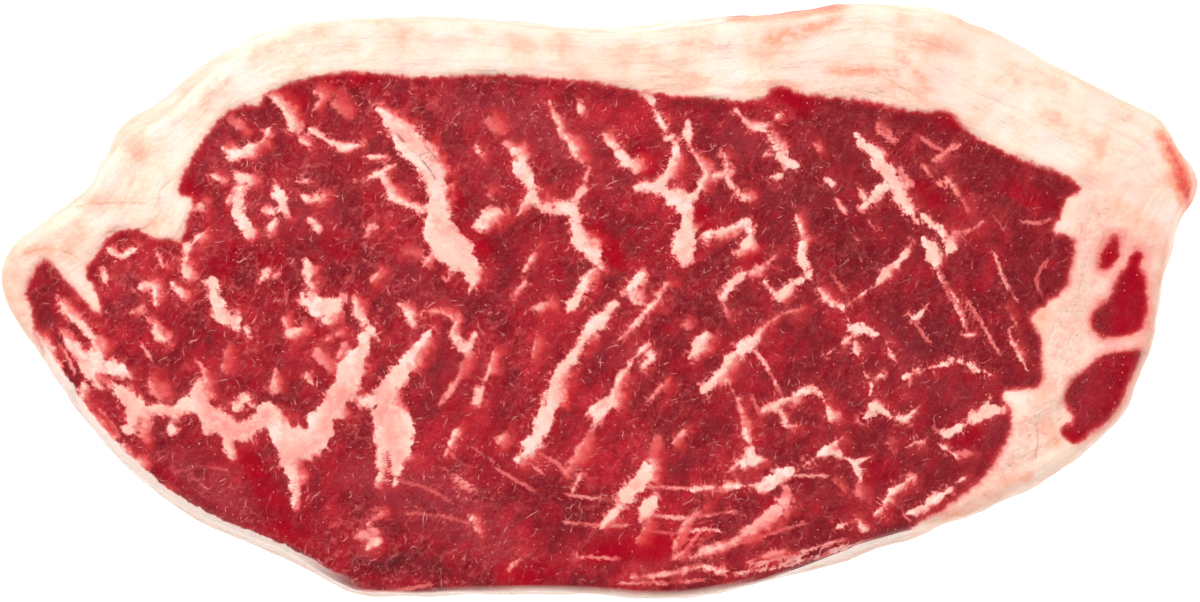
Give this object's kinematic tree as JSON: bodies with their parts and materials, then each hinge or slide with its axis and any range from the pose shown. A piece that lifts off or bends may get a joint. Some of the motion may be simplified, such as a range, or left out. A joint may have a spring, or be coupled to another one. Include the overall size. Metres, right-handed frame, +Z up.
{
  "type": "raw beef steak",
  "caption": "Boneless raw strip steak lying flat: a marbled eye of lean, an outer cap of fat along the back and round the tail, and red strips of muscle set in the tail's fat.",
  "frame": {"origin": "middle of the steak's box, on the surface it lies on", "axes": "+X to the thin tail end, +Y to the back with the thick fat, +Z up through the cut face that shows"},
  "size_m": [0.2099, 0.1047, 0.0263],
  "materials": {
    "lean": "wet raw lean, deep red, with cream streaks of marbling",
    "tail_lean": "wet raw lean, bright red",
    "fat": "soft cream beef fat with a peach tint and a dull shine"
  },
  "bodies": {
    "root": {"eye_muscle": "lean", "fat_cap": "fat", "tail_muscle_upper": "tail_lean", "tail_muscle_lower": "tail_lean"}
  },
  "joints": []
}
